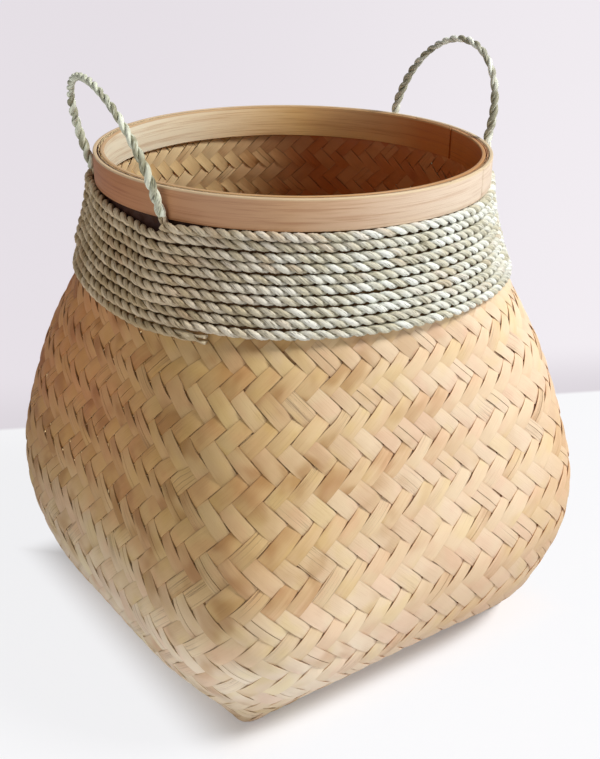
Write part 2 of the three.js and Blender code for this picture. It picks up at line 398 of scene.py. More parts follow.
def close_surface(
    bench: ShaderBench, colour: Term, roughness: "Term | float", height: Term, relief: float
) -> None:
    """Ends a material in a plain shader with its bump.

    Args:
        bench: The bench that wrote the material's nodes.
        colour: The base colour.
        roughness: The roughness.
        height: What stands proud, from 0 to 1.
        relief: How far it stands proud, in metres.
    """
    inputs = {"Strength": 1.0, "Distance": relief, "Height": height}
    bump = bench.node("ShaderNodeBump", {}, inputs, "Normal")
    inputs = {"Base Color": colour, "Roughness": roughness, "Normal": bump}
    shader = bench.node("ShaderNodeBsdfPrincipled", {}, inputs)
    bench.node("ShaderNodeOutputMaterial", {}, {"Surface": shader})


@dataclass(frozen=True)
class SplitBambooFinish:
    """Thin plaited strips: pale straw, with painted gold and red brown shade where the light leaves
    them, and red brown painted shadow inside.
    """

    name: str = "split_bamboo"
    brown: Colour = tint(200, 150, 102)
    tan: Colour = tint(228, 192, 150)
    straw: Colour = tint(240, 211, 173)
    pale: Colour = tint(247, 224, 190)
    painted_sheen: Colour = tint(240, 220, 202)
    paler_tone: Colour = tint(252, 238, 216)
    painted_gold_shade: Colour = tint(212, 194, 150)
    shaded: Colour = tint(252, 246, 216)
    painted_russet_shade: Colour = tint(250, 213, 190)
    painted_inside_shadow: Colour = tint(184, 112, 60)
    painted_binding_shade: Colour = tint(160, 136, 104)
    painted_hoop_shadow: Colour = tint(136, 112, 92)
    turned: Colour = tint(230, 214, 190)
    folded: Colour = tint(216, 206, 192)
    under: Colour = tint(232, 226, 218)
    browned: Colour = tint(214, 192, 160)
    bleached: Colour = (1.09, 1.13, 1.17, 1.0)
    blushed: Colour = tint(255, 240, 242)
    yellowed: Colour = tint(252, 252, 222)
    crack: Colour = tint(116, 76, 44)
    relief: float = 0.0003

    def material(self) -> bpy.types.Material:
        """Writes the finish.

        Returns:
            The material.
        """
        material, bench = surface(self.name)
        across, along = bench.lay()
        tone, rising, inside = (bench.attribute(mark) for mark in (TONE, RISING, INSIDE))
        right, _, up = bench.spot()
        fibre_place = bench.point(across * 22.0, along * 0.6, tone * 57.0)
        fibre = bench.noise(fibre_place, detail=3.0, roughness=0.6)
        streak = bench.noise(bench.point(across * 5.0, along * 0.16, tone * 31.0))
        patch = bench.noise(bench.point(across * 0.5, along * 0.4, tone * 93.0))
        shade = tone * 0.55 + streak * 0.3 + patch * 0.8 - 0.31
        stops = [(0.06, self.brown), (0.2, self.tan), (0.4, self.straw), (0.86, self.pale)]
        colour = bench.node("ShaderNodeValToRGB", {"stops": stops}, {0: shade})
        # Painted highlight on the strips that rise to the left
        colour = bench.blend(rising * 0.4, colour, self.painted_sheen)
        colour = bench.blend(bench.within(fibre, 0.5, 0.26) * 0.2, colour, self.brown)
        split = bench.noise(bench.point(across * 4.6, along * 0.045, tone * 71.0), detail=1.0)
        crack = bench.within(split, 0.475, 0.5) * bench.within(split, 0.525, 0.5)
        often = bench.noise(bench.point(0.0, along * 0.12, tone * 17.0))
        crack = crack * bench.within(often, 0.54, 0.7)
        colour = bench.blend(crack * 0.55, colour, self.crack)
        # Painted shade along the strips' edges, less low down and on the lit right, and painted
        # light that makes the lit right paler
        side = bench.within(across, 0.05, 0.0) + bench.within(across, 0.97, 1.0) * 0.4
        low, lit = bench.within(up, 0.14, 0.0), bench.within(right, 0.0, 0.12)
        colour = bench.blend(side * (0.45 - low * 0.3) * (1.0 - lit * 0.5), colour, self.crack)
        colour = bench.blend(lit * 0.4, colour, self.straw)
        # Paler towards the bottom, less so on the lit right, and paler where the strips are cut off
        # at the top
        colour = bench.blend(low * (0.85 - lit * 0.8), colour, self.paler_tone)
        cut_ends = bench.within(up, 0.3215, 0.3235)
        colour = bench.blend(cut_ends * 0.8, colour, self.paler_tone)
        outside = 1.0 - inside
        aged = bench.within(tone * 0.6 + patch * 0.4, 0.5, 0.75)
        place = bench.place()
        moved = bench.vector("ADD", place, (3.0, 5.0, 7.0))
        stain = bench.noise(bench.point(across * 0.4, along * 0.3, tone * 61.0))
        tinge = bench.noise(bench.point(across * 0.4, along * 0.3, tone * 83.0))
        bloom = stain * 0.7 + bench.noise(place, scale=30.0) * 0.3
        blush = tinge * 0.6 + bench.noise(moved, scale=40.0) * 0.4
        shades = (
            # Patches on the outside
            (bench.within(bloom, 0.52, 0.64) * (0.8 - lit * 0.6 - low * 0.35), self.browned),
            (bench.within(bloom, 0.53, 0.4) * (1.0 - lit * 0.85), self.bleached),
            (bench.within(blush, 0.5, 0.6) * (0.5 - lit * 0.1), self.blushed),
            (bench.within(blush, 0.48, 0.38) * (0.5 - lit * 0.1), self.yellowed),
            # Painted shade: gold and red brown towards the left, and up it, and a little gold on
            # the strips without the painted highlight
            ((1.0 - rising) * bench.within(right, 0.13, 0.0) * 0.1, self.painted_gold_shade),
            (bench.within(right, 0.13, -0.06) * bench.within(up, 0.02, 0.15), self.painted_gold_shade),
            (bench.within(right, -0.03, -0.15) * bench.within(up, 0.08, 0.2), self.painted_russet_shade),
            # Painted shade under the binding, and the outer hoop's painted shadow at the left
            (bench.within(up, 0.2515, 0.2535), self.painted_binding_shade),
            (bench.within(up, 0.29, 0.3) * bench.within(right, 0.02, -0.06), self.painted_hoop_shadow),
            # Painted shade where the wall turns away, down at the foot, and under the belly on the
            # lit right
            (bench.within(right * right, 0.02, 0.042), self.turned),
            (bench.within(up, 0.06, 0.004), self.folded),
            (lit * bench.within(up, 0.13, 0.05), self.under),
        )
        for share, by in shades:
            colour = bench.shade(colour, outside * share, by)
        # Painted shade over the whole inside, and a deep red brown painted shadow at its right, a
        # little lighter on some strips
        colour = bench.shade(colour, inside, self.shaded)
        share = inside * bench.within(right, -0.07, 0.02) * (1.0 - aged * 0.08)
        colour = bench.shade(colour, share, self.painted_inside_shadow)
        close_surface(bench, colour, 0.52 + fibre * 0.2, fibre * 0.6 - crack * 0.8, self.relief)
        return material


@dataclass(frozen=True)
class BentHoopFinish:
    """A planed bamboo strip: long fine grain, and painted light and shade that change round the
    rim, from the left of the picture to the right.
    """

    name: str
    left: Colour
    middle: Colour
    right: Colour
    grain_line: Colour = tint(206, 172, 140)
    worn: Colour = tint(224, 200, 160)
    relief: float = 0.0002

    def material(self) -> bpy.types.Material:
        """Writes the finish.

        Returns:
            The material.
        """
        material, bench = surface(self.name)
        across, along = bench.lay()
        tone = bench.attribute(TONE)
        right, _, up = bench.spot()
        grain_place = bench.point(across * 34.0, along * 0.35, tone * 9.0)
        grain = bench.noise(grain_place, detail=4.0, roughness=0.62)
        vein = bench.noise(bench.point(across * 9.0, along * 0.12, tone * 5.0))
        patch = bench.noise(bench.point(across * 0.8, along * 0.22, tone * 3.0))
        # Painted light and shade, from the left of the picture to the right
        stops = [(0.08, self.left), (0.5, self.middle), (0.9, self.right)]
        place = right * 4.2 + 0.5 + patch * 0.1 - 0.05
        colour = bench.node("ShaderNodeValToRGB", {"stops": stops}, {0: place})
        lines = bench.within(grain * 0.5 + vein * 0.5, 0.54, 0.34)
        colour = bench.shade(colour, lines * 0.55, self.grain_line)
        upper_edge = bench.within(up, 0.3235, 0.3246)
        colour = bench.blend(upper_edge * 0.8, colour, self.worn)
        close_surface(bench, colour, 0.42 + grain * 0.16, grain, self.relief)
        return material


@dataclass(frozen=True)
class SeagrassFinish:
    """Twisted grass: cream and grey-green blades, with painted shadow between them and painted
    shade towards the left.
    """

    name: str = "seagrass"
    shadow: Colour = tint(104, 94, 70)
    green: Colour = tint(212, 206, 180)
    cream: Colour = tint(250, 252, 242)
    rust: Colour = tint(216, 192, 162)
    painted_left_shade: Colour = tint(236, 212, 184)
    blades: float = 10.0
    relief: float = 0.0009

    def material(self) -> bpy.types.Material:
        """Writes the finish.

        Returns:
            The material.
        """
        material, bench = surface(self.name)
        across, along = bench.lay()
        tone = bench.attribute(TONE)
        blade_place = bench.point(across * self.blades + along * 0.6, along * 0.5, tone * 40.0)
        blade = bench.noise(blade_place, detail=3.0, roughness=0.7)
        length = bench.noise(bench.point(tone * 23.0, along * 0.16, 0.0))
        colour = bench.blend(bench.within(length, 0.36, 0.64), self.green, self.cream)
        rusty = bench.noise(bench.point(tone * 11.0, along * 0.09, 4.0), detail=1.0)
        colour = bench.blend(bench.within(rusty, 0.56, 0.7) * 0.5, colour, self.rust)
        colour = bench.blend(bench.within(blade, 0.46, 0.32) * 0.75, colour, self.shadow)
        colour = bench.blend(bench.within(blade, 0.52, 0.66) * 0.6, colour, self.cream)
        # Painted shade towards the left
        left = bench.within(bench.spot()[0], 0.05, -0.1)
        colour = bench.shade(colour, left, self.painted_left_shade)
        close_surface(bench, colour, 0.8, blade, self.relief)
        return material


# Mesh making


class MeshBench:
    """Lays grids over swept sections and hands the mesh over as a finished piece."""

    def __init__(self) -> None:
        """Starts an empty mesh with a lay map and a tone."""
        self.work = bmesh.new()
        self.lay = self.work.loops.layers.uv.new(LAY_MAP)
        layers = self.work.verts.layers.float
        self.marks = {mark: layers.new(mark) for mark in (TONE, RISING, INSIDE)}

    def sweep(
        self,
        rings: np.ndarray,
        across: np.ndarray,
        along: np.ndarray,
        tone: float,
        rising: np.ndarray | None = None,
        inside: np.ndarray | None = None,
    ) -> None:
        """Adds one closed sweep from a grid whose last column is joined to its first.

        Args:
            rings: Points as rows, columns and 3, in millimetres, the first column repeated last.
            across: Place across the strip or round the strand, for each column.
            along: Place along it, for each row.
            tone: The number that its colour is drawn from.
            rising: For each row, how much the strip rises to the left.
            inside: For each column, how much it faces the inside of the basket.
        """
        rows, columns = rings.shape[:2]
        rising = np.zeros(rows) if rising is None else rising
        inside = np.zeros(columns) if inside is None else inside
        made = bmesh.ops.create_grid(
            self.work, x_segments=columns - 1, y_segments=rows - 1, size=0.5
        )["verts"]
        places = (rings * MM).reshape(-1, 3).tolist()
        lay = {}
        for i, (vert, place) in enumerate(zip(made, places)):
            vert.co = place
            vert[self.marks[TONE]] = tone
            vert[self.marks[RISING]] = rising[i // columns]
            vert[self.marks[INSIDE]] = inside[i % columns]
            lay[vert] = (across[i % columns], along[i // columns])
        for face in {face for vert in made for face in vert.link_faces}:
            face.smooth = True
            for loop in face.loops:
                loop[self.lay].uv = lay[loop.vert]
        last = columns - 1
        joined = {made[r * columns + last]: made[r * columns] for r in range(rows)}
        bmesh.ops.weld_verts(self.work, targetmap=joined)

    def piece(self, name: str, crease: float) -> bpy.types.Object:
        """Closes the open ends and makes the object.

        Args:
            name: The piece's name.
            crease: Edges that turn by more than this many degrees stay sharp.

        Returns:
            The object, standing at the origin.
        """
        open_edges = [edge for edge in self.work.edges if edge.is_boundary]
        if open_edges:
            bmesh.ops.holes_fill(self.work, edges=open_edges, sides=0)
        bmesh.ops.recalc_face_normals(self.work, faces=self.work.faces)
        mesh = bpy.data.meshes.new(name)
        self.work.to_mesh(mesh)
        self.work.free()
        mesh.set_sharp_from_angle(angle=math.radians(crease))
        made = bpy.data.objects.new(name, mesh)
        bpy.context.scene.collection.objects.link(made)
        return made


def dress(
    piece: bpy.types.Object, finish: bpy.types.Material, body: str, node: str
) -> None:
    """Gives a piece its finish and its CAD body, and hides the CAD node that it stands for.

    Args:
        piece: The piece.
        finish: Its material.
        body: The CAD body that it rides on.
        node: The CAD node that it replaces.
    """
    piece.data.materials.append(finish)
    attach(piece, body)
    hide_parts(node)
    piece.data.calc_loop_triangles()
    log.info("%s: %d triangles on %s", piece.name, len(piece.data.loop_triangles), body)


# The body's form


@dataclass
class BasketForm:
    """The outer surface of the body, from its square foot to its round mouth, in millimetres.

    Attributes:
        sections: Half width over the faces, distance to a corner, and height, from the foot up.
        top: Height at which the strips end, above the straight neck inside the hoops.
        foot_arch: How high the foot's edges arch between their corners.
        arch_fade: Height at which the arch has faded out.
        pad_breadth: How broad the pads under the corners are, 1 where they are points.
        dip: Where the floor starts to dip to the pads and ends, as shares of the foot's reach.
        stations: Number of heights in the surface's table.
        spokes: Number of places round each height, a multiple of four.
    """

    sections: tuple[tuple[float, float, float], ...] = (
        (112, 156, 0),
        (125, 164, 15),
        (146.5, 176, 38),
        (154, 191, 76),
        (150.5, 192, 114),
        (146, 180.5, 157),
        (141, 163, 202),
        (132.9, 135.4, 251.75),
        (125, 125, 279.225),
        (120.4, 120.4, 300.7),
    )
    top: float = 324.7
    foot_arch: float = 4.7
    arch_fade: float = 60.0
    pad_breadth: float = 1.06
    dip: tuple[float, float] = (0.45, 0.93)
    stations: int = 360
    spokes: int = 768
    heights: np.ndarray = field(init=False)
    faces: np.ndarray = field(init=False)
    corners: np.ndarray = field(init=False)
    table: np.ndarray = field(init=False)
    climb: np.ndarray = field(init=False)

    def __post_init__(self) -> None:
        """Works out the surface's table, and how far a strip has climbed at each height."""
        points = np.array(self.sections, float)
        ahead = np.vstack([2 * points[0] - points[1], points, 2 * points[-1] - points[-2]])
        position = np.linspace(0, len(points) - 1, self.stations)
        start = np.minimum(position.astype(int), len(points) - 2)
        share = (position - start)[:, None]
        p0, p1, p2, p3 = (ahead[start + i] for i in range(4))
        curve = 0.5 * (
            2 * p1
            + (p2 - p0) * share
            + (2 * p0 - 5 * p1 + 4 * p2 - p3) * share**2
            + (3 * p1 - p0 - 3 * p2 + p3) * share**3
        )
        neck = np.linspace(curve[-1, 2], self.top, 24)[1:]
        straight = np.column_stack([np.full((len(neck), 2), points[-1, 0]), neck])
        profile = np.vstack([curve, straight])
        self.faces, self.corners, self.heights = profile.T
        self.table = np.array([self._ring(*row) for row in profile])
        steps = np.linalg.norm(np.diff(self.table, axis=0), axis=2).mean(axis=1)
        girth = np.linalg.norm(np.diff(self.table, axis=1, append=self.table[:, :1]), axis=2)
        girth = girth.sum(axis=1)
        self.climb = running_total(steps / ((girth[1:] + girth[:-1]) / 2))

    @staticmethod
    def reach(angle: np.ndarray, face: np.ndarray, corner: np.ndarray) -> np.ndarray:
        """Distance from the middle to the wall in a direction.

        Args:
            angle: Bearing in radians.
            face: Half width over the faces.
            corner: Distance to a corner.

        Returns:
            The distance.
        """
        sharpest = 0.49
        power = 1 / (0.5 - np.minimum(np.log2(corner / face), sharpest))
        spread = np.abs(np.cos(angle)) ** power + np.abs(np.sin(angle)) ** power
        return face / spread ** (1 / power)

    def lift(self, angle: np.ndarray, height: np.ndarray) -> np.ndarray:
        """How far the arch between the foot's corners raises the wall.

        Args:
            angle: Bearing in radians.
            height: Height before the arch.

        Returns:
            The rise.
        """
        fade = np.maximum(0, 1 - height / self.arch_fade)
        return self.foot_arch * (1 - self._pad(angle)) * fade

    def _pad(self, angle: np.ndarray) -> np.ndarray:
        """How far the pads reach in a direction, 1 at the corners."""
        return np.minimum(1, self.pad_breadth * np.sin(2 * angle) ** 2)

    def _ring(self, face: float, corner: float, height: float) -> np.ndarray:
        """Points at equal distances round one height.

        Args:
            face: Half width over the faces.
            corner: Distance to a corner.
            height: The height.

        Returns:
            The points, from the front corner on.
        """
        fine = 5761
        angle = np.linspace(-math.pi / 4, -math.pi / 4 + TURN, fine)
        radius = self.reach(angle, face, corner)
        x, y = radius * np.cos(angle), radius * np.sin(angle)
        run = running_total(np.hypot(np.diff(x), np.diff(y)))
        wanted = np.linspace(0, run[-1], self.spokes, endpoint=False)
        bearing = np.interp(wanted, run, angle)
        z = height + self.lift(bearing, np.full(self.spokes, height))
        return around(self.reach(bearing, face, corner), bearing, z)

    def wall(self, turn: np.ndarray, rise: np.ndarray) -> np.ndarray:
        """Points on the wall.

        Args:
            turn: Share of the way round, from the front corner.
            rise: How far a strip has climbed, as a share of a full turn.

        Returns:
            The points, in the last axis.
        """
        row = np.interp(rise, self.climb, np.arange(len(self.climb)))
        low = np.minimum(row.astype(int), len(self.climb) - 2)
        up = (row - low)[..., None]
        column = np.mod(turn, 1.0) * self.spokes
        left = column.astype(int) % self.spokes
        right = (left + 1) % self.spokes
        side = (column - np.floor(column))[..., None]
        below = self.table[low, left] * (1 - side) + self.table[low, right] * side
        above = self.table[low + 1, left] * (1 - side) + self.table[low + 1, right] * side
        return below * (1 - up) + above * up

    def floor_height(self, x: np.ndarray, y: np.ndarray) -> np.ndarray:
        """Height of the floor's underside, which dips to the pads at its corners.

        Args:
            x: Place along X.
            y: Place along Y.

        Returns:
            The height.
        """
        angle = np.arctan2(y, x)
        foot = self.reach(angle, *self.sections[0][:2])
        start, end = self.dip
        dip = smooth_step((np.hypot(x, y) / foot - start) / (end - start))
        return self.foot_arch * (1 - self._pad(angle) * dip)

    def wall_radius(self, angle: np.ndarray, height: np.ndarray) -> np.ndarray:
        """Outer radius of the wall at a bearing and height.

        Args:
            angle: Bearing in radians.
            height: Height.

        Returns:
            The radius.
        """
        face = np.interp(height, self.heights, self.faces)
        corner = np.interp(height, self.heights, self.corners)
        return self.reach(angle, face, corner)


# The plaiting


@dataclass
class PlaitedBody:
    """The body's strips. Each comes down one wall, crosses the floor and climbs the next.

    Attributes:
        form: The surface that the strips follow.
        strips: Number of strips, a multiple of four.
        span: How many strips each one passes over, and then under.
        steps: Sections for each crossing.
        thickness: A strip's thickness.
        sink: How far the middle of the plait lies inside the surface.
        swing: How far a strip goes out and in as it passes over and under.
        crown: How far a strip's middle stands above its edges.
        widths: Least and greatest width of a strip, as shares of its place.
        split_chance: How often a strip is split along its length.
        split_gap: Half the gap of such a split, in strips.
        ground_gap: Least height above the ground.
        uneven: How far the lines between strips stray, in strips.
        pieces: Number of meshes that the strips are shared among.
        seed: The seed of the hand's unevenness.
    """

    form: BasketForm
    strips: int = 68
    span: int = 2
    steps: float = 3.6
    thickness: float = 0.5
    sink: float = 0.8
    swing: float = 0.72
    crown: float = 0.2
    widths: tuple[float, float] = (0.955, 0.995)
    split_chance: float = 0.12
    split_gap: float = 0.018
    ground_gap: float = 0.15
    uneven: float = 0.17
    pieces: int = 4
    seed: int = 41
    edges: np.ndarray = field(init=False)
    leaving: np.ndarray = field(init=False)

    def __post_init__(self) -> None:
        """Draws the lines between neighbouring strips, which stray less near the corners."""
        chance = np.random.default_rng(self.seed + 1)
        quarter = self.strips // 4
        index = np.arange(self.strips + 1)
        near = np.minimum(index % quarter, quarter - index % quarter)
        stray = chance.uniform(-self.uneven, self.uneven, self.strips + 1) * np.minimum(near / 2, 1)
        corner = -(-index // quarter) * quarter
        self.edges = index + stray
        self.leaving = index - stray[(2 * corner - index) % self.strips]

    def _crossed(self, along: np.ndarray, corner: int) -> np.ndarray:
        """Which strips cross here, counted with a fraction.

        Args:
            along: Places along one strip.
            corner: The corner that the strip turns round.

        Returns:
            The count of strips at each place.
        """
        index = np.arange(self.strips + 1)
        turns = np.floor(along / self.strips) * self.strips
        down = np.interp(along - turns, self.leaving, index)
        up = np.interp(along - turns, self.edges, index)
        return turns + np.where(along >= corner, down, up)

    def weave_height(self, phase: np.ndarray) -> np.ndarray:
        """How far out a strip lies, from -1 under the others to 1 over them.

        Args:
            phase: Crossings since it last came up.

        Returns:
            The share of the swing.
        """
        wave = np.sin(math.pi * phase / self.span)
        return wave * (1.35 - 0.35 * wave**2)

    def lay_strip(self, bench: MeshBench, index: int, chance: np.random.Generator) -> None:
        """Adds one strip to a mesh.

        Args:
            bench: Where the mesh is made.
            index: Which strip.
            chance: The seeded source of chance.
        """
        whole, quarter = 2 * self.strips, self.strips // 4
        middle = float(self.edges[index] + self.edges[index + 1]) / 2
        pitch = float(self.edges[index + 1] - self.edges[index])
        corner = index // quarter * quarter
        height = whole * self.form.climb[-1]
        top, end = middle + height, 2 * corner - middle - height
        rows = int((top - end) * self.steps) + 1
        along = np.linspace(top, end, rows)
        width = pitch * chance.uniform(*self.widths)
        climbed = np.maximum(along - middle, 2 * corner - middle - along).clip(0) / whole
        tall = np.interp(climbed, self.form.climb, self.form.heights)
        # How far it strays sideways, and how far a slit opens beside it above the foot
        drift = wander(chance, along, spacing=9.0, reach=0.015)
        slit = np.maximum(0, wander(chance, along, spacing=1.9, reach=0.24) - 0.11) * pitch
        slit = slit * (0.3 + 0.7 * smooth_step((tall - 30) / 80))
        # Over and under, how unevenly it lies, and how far it rolls
        offset = self._offsets(self._crossed(along, corner), index + 0.5, corner)
        uneven = wander(chance, along, spacing=5.0, reach=0.09)
        roll = wander(chance, along, spacing=3.0, reach=0.2)
        tone = float(chance.uniform(0, 1))
        # Between the foot and the binding the plait is less pressed
        free = 1 + 0.4 * smooth_step((252 - tall) / 14) * smooth_step((tall - 20) / 60)
        parts = [(-width / 2, width / 2)]
        if chance.uniform() < self.split_chance:
            cut = chance.uniform(-0.2, 0.2) * width
            parts = [(-width / 2, cut - self.split_gap), (cut + self.split_gap, width / 2)]
        for low, high in parts:
            points = 5 if len(parts) == 1 else 4
            side = np.linspace(low, high, points)
            squeeze = slit[:, None] * (width / 2 - side[None, :]) / width
            lie = side[None, :] + drift[:, None] + squeeze
            base = self._surface(along, lie, middle, corner, (top, end))
            forward = np.gradient(base, axis=0)
            outward = unit(np.cross(forward, np.gradient(base, axis=1)))
            share = 2 * side / width
            level = (offset * self.swing * free + uneven)[:, None]
            level = level + (self.crown * free)[:, None] * (1 - share**2) + roll[:, None] * share
            level = level + wander(chance, along, spacing=4.0, reach=0.05)[:, None] - self.sink
            upper = base + outward * (level + self.thickness / 2)[..., None]
            lower = base + outward * (level - self.thickness / 2)[..., None]
            rings = np.concatenate([upper, lower[:, ::-1], upper[:, :1]], axis=1)
            rings[..., 2] = np.maximum(rings[..., 2], self.ground_gap)
            spread = side / width + 0.5
            across = np.concatenate([spread, spread[::-1], spread[:1]])
            inside = np.concatenate([np.zeros(points), np.ones(points), [0.0]])
            rising = smooth_step((corner - along) / 4 + 0.5)
            bench.sweep(rings, across, -along, tone, rising, inside)

    def _offsets(self, along: np.ndarray, middle: float, corner: int) -> np.ndarray:
        """Over and under along one strip: down a wall, across the floor and up the next wall.

        Args:
            along: Places along the strip, in crossings.
            middle: Where its middle meets the foot's edge.
            corner: The corner that it turns round.

        Returns:
            How far out it lies at each place, from -1 to 1.
        """
        quarter = self.strips // 4
        number = corner // quarter
        first = self.weave_height(along - (middle - 0.5))
        other = 2 * corner - middle
        last = -self.weave_height(other + 0.5 - along)
        inward = quarter - (middle - corner)
        passed = along - corner
        sign = 1 if number < 2 else -1
        if number % 2 == 0:
            floor = self.weave_height(sign * (passed - inward) + 0.5)
        else:
            floor = -self.weave_height(sign * (passed + inward) + 0.5)
        offset = np.where(along >= middle, first, np.where(along <= other, last, floor))
        return soften(offset, 2)

    def _surface(
        self,
        along: np.ndarray,
        lie: np.ndarray,
        middle: float,
        corner: int,
        ends: tuple[float, float],
    ) -> np.ndarray:
        """Points of a strip on the form, folded under the foot's edges and cut level at the top.

        Args:
            along: Places along the strip, in crossings.
            lie: How far each point lies to the side of the strip's middle.
            middle: Where its middle meets the foot's edge.
            corner: The corner that it turns round.
            ends: The places at which it ends.

        Returns:
            The points, as rows along the strip.
        """
        # Lengths in strips over which the ends are cut level and the folds are rounded
        cut, fold = 3, 1.2
        whole = 2 * self.strips
        lead, tail = (smooth_step(1 - np.abs(along - end) / cut)[:, None] for end in ends)
        run = along[:, None] + lie * (lead - tail)
        start = middle + lie
        exit_turn = 2 * corner - start
        down = self.form.wall((start + run) / whole, (run - start) / whole)
        up = self.form.wall((exit_turn + run) / whole, (exit_turn - run) / whole)
        level = np.zeros_like(start)
        enter = self.form.wall(start / self.strips, level)
        leave = self.form.wall(exit_turn / self.strips, level)
        share = np.clip((start - run) / (2 * (start - corner)), 0, 1)[..., None]
        floor = enter * (1 - share) + leave * share
        floor[..., 2] = self.form.floor_height(floor[..., 0], floor[..., 1])
        base = np.where(
            (run >= start)[..., None], down, np.where((run <= exit_turn)[..., None], up, floor)
        )
        near = (np.abs(run - start) < fold) | (np.abs(run - exit_turn) < fold)
        return np.where(near[..., None], soften(base), base)

    def build(self, finish: bpy.types.Material) -> None:
        """Lays every strip and makes the pieces.

        Args:
            finish: The strips' material.
        """
        chance = np.random.default_rng(self.seed)
        share = self.strips // self.pieces
        for number in range(self.pieces):
            bench = MeshBench()
            for index in range(number * share, (number + 1) * share):
                self.lay_strip(bench, index, chance)
            piece = bench.piece(f"plaited_strips_{number + 1}", 35.0)
            dress(piece, finish, "basket", "woven_body")


# The hoops


@dataclass
class LappedHoop:
    """A hoop bent from one strip whose thinned ends lie over one another, in millimetres.

    Attributes:
        node: The CAD node that it stands for.
        inner: Inner radius.
        depth: Height of the strip.
        seam: Bearing at which the lap starts, in degrees.
        tone: The number that its grain is drawn from.
        thickness: The strip's thickness.
        top: Height of its upper edge.
        lap: Length of the lap.
        step: Length over which an end is thinned.
        gap: Clearance between the lapped ends.
        ease: Radius of the strip's worn edges.
        rings: Number of sections in a full turn.
    """

    node: str
    inner: float
    depth: float
    seam: float
    tone: float
    thickness: float = 2.3
    top: float = 325.0
    lap: float = 36.0
    step: float = 1.5
    gap: float = 0.3
    ease: float = 0.55
    rings: int = 240

    def _section(self, inner: np.ndarray, outer: np.ndarray) -> tuple[np.ndarray, np.ndarray]:
        """The strip's section, with eased edges.

        Args:
            inner: Inner radius at each place round the hoop.
            outer: Outer radius there.

        Returns:
            Radii and heights, with a row for each place.
        """
        low, high = self.top - self.depth, self.top
        ease = np.minimum(self.ease, (outer - inner) / 2.2)
        turns = np.radians([0, 30, 60, 90])
        radii, heights = [], []
        corners = ((1, 1, 0), (-1, 1, 90), (-1, -1, 180), (1, -1, 270))
        for outward, upward, start in corners:
            centre_r = (outer - ease) if outward > 0 else (inner + ease)
            centre_z = (high - ease) if upward > 0 else (low + ease)
            for turn in turns + math.radians(start):
                radii.append(centre_r + ease * math.cos(turn))
                heights.append(centre_z + ease * math.sin(turn))
        radii.append(radii[0])
        heights.append(heights[0])
        return np.array(radii).T, np.array(heights).T

    def build(self, finish: bpy.types.Material) -> None:
        """Makes the hoop.

        Args:
            finish: Its material.
        """
        outer = self.inner + self.thickness
        tongue = (self.thickness - self.gap) / 2
        lap, step = self.lap / outer, self.step / outer
        slit = self.gap / self.inner
        start = math.radians(self.seam)
        turn = start + TURN
        knots = [start, start + lap, start + lap + step]
        knots += [turn - slit - step, turn - slit, turn + lap - slit]
        inside = [self.inner] * 4 + [outer - tongue] * 2
        outside = [self.inner + tongue] * 2 + [outer] * 4
        angle = np.unique(np.concatenate([np.linspace(knots[0], knots[-1], self.rings), knots]))
        radii, heights = self._section(
            np.interp(angle, knots, inside), np.interp(angle, knots, outside)
        )
        rings = around(radii, angle[:, None], heights)
        bench = MeshBench()
        # The grain is laid in steps of 18 mm across and 10 mm along
        across = (heights[0] - (self.top - self.depth)) / 18
        bench.sweep(rings, across, angle * outer / 10, self.tone)
        piece = bench.piece(f"{self.node}_strip", 50.0)
        dress(piece, finish, "basket", self.node)


# The cords


@dataclass
class TwistedCord:
    """Two strands of grass laid round each other, in millimetres.

    Attributes:
        radius: The cord's radius.
        lay: Length of one full twist.
        sides: Points round a strand.
        steps: Sections in each full twist.
    """

    radius: float
    lay: float = 14.5
    sides: int = 7
    steps: int = 11

    def spin(
        self,
        bench: MeshBench,
        line: np.ndarray,
        outward: np.ndarray,
        chance: np.random.Generator,
        flatten: np.ndarray | None = None,
        slack: np.ndarray | None = None,
        girth: np.ndarray | None = None,
    ) -> float:
        """Adds the cord's two strands along a centre line.

        Args:
            bench: Where the mesh is made.
            line: Points of the centre line, close together.
            outward: A direction across the line at each point.
            chance: The seeded source of chance.
            flatten: How flat the cord is pressed at each point, 1 where it is round.
            slack: How much of its twist the cord has at each point, 1 where it is fully laid.
            girth: How thick the cord is at each point, as a share of its usual thickness.

        Returns:
            The cord's length.
        """
        run = run_along(line)
        rows = int(run[-1] / self.lay * self.steps)
        place = np.linspace(0, run[-1], rows)

        def read(values: np.ndarray) -> np.ndarray:
            """Values of the centre line's points at the cord's sections."""
            return np.column_stack([np.interp(place, run, column) for column in values.T])

        centre = read(line)
        ahead = unit(np.gradient(centre, axis=0))
        side = read(outward)
        side = unit(side - ahead * (side * ahead).sum(axis=1, keepdims=True))
        over = np.cross(ahead, side)
        press, laid, stout = (
            np.ones(rows) if values is None else np.interp(place, run, values)
            for values in (flatten, slack, girth)
        )
        rate = laid * (1 + wander(chance, place, spacing=60.0, reach=0.08)) * TURN / self.lay
        twist = running_total((rate[1:] + rate[:-1]) / 2 * np.diff(place))
        widen = press**-0.15
        for strand in range(2):
            turn = twist + math.pi * (strand + 0.5)
            plump = stout * (1 + wander(chance, place, spacing=5.0, reach=0.1))
            arm = (0.5 * self.radius * stout)[:, None]
            spoke = (
                side * (np.cos(turn) * press)[:, None] + over * (np.sin(turn) * widen)[:, None]
            )
            middle = centre + spoke * arm
            tangent = unit(np.gradient(middle, axis=0))
            out = unit(spoke - tangent * (spoke * tangent).sum(axis=1, keepdims=True))
            across = np.cross(tangent, out)
            angle = np.linspace(0, TURN, self.sides + 1)
            thick = (0.5 * self.radius * plump * np.sqrt(press))[:, None, None]
            wide = (0.62 * self.radius * plump * press**-0.35)[:, None, None]
            ring = (
                out[:, None] * np.cos(angle)[None, :, None] * thick
                + across[:, None] * np.sin(angle)[None, :, None] * wide
            )
            rings = middle[:, None] + ring
            bench.sweep(rings, angle / TURN, place / 4, float(chance.uniform(0, 1)))
        return float(run[-1])


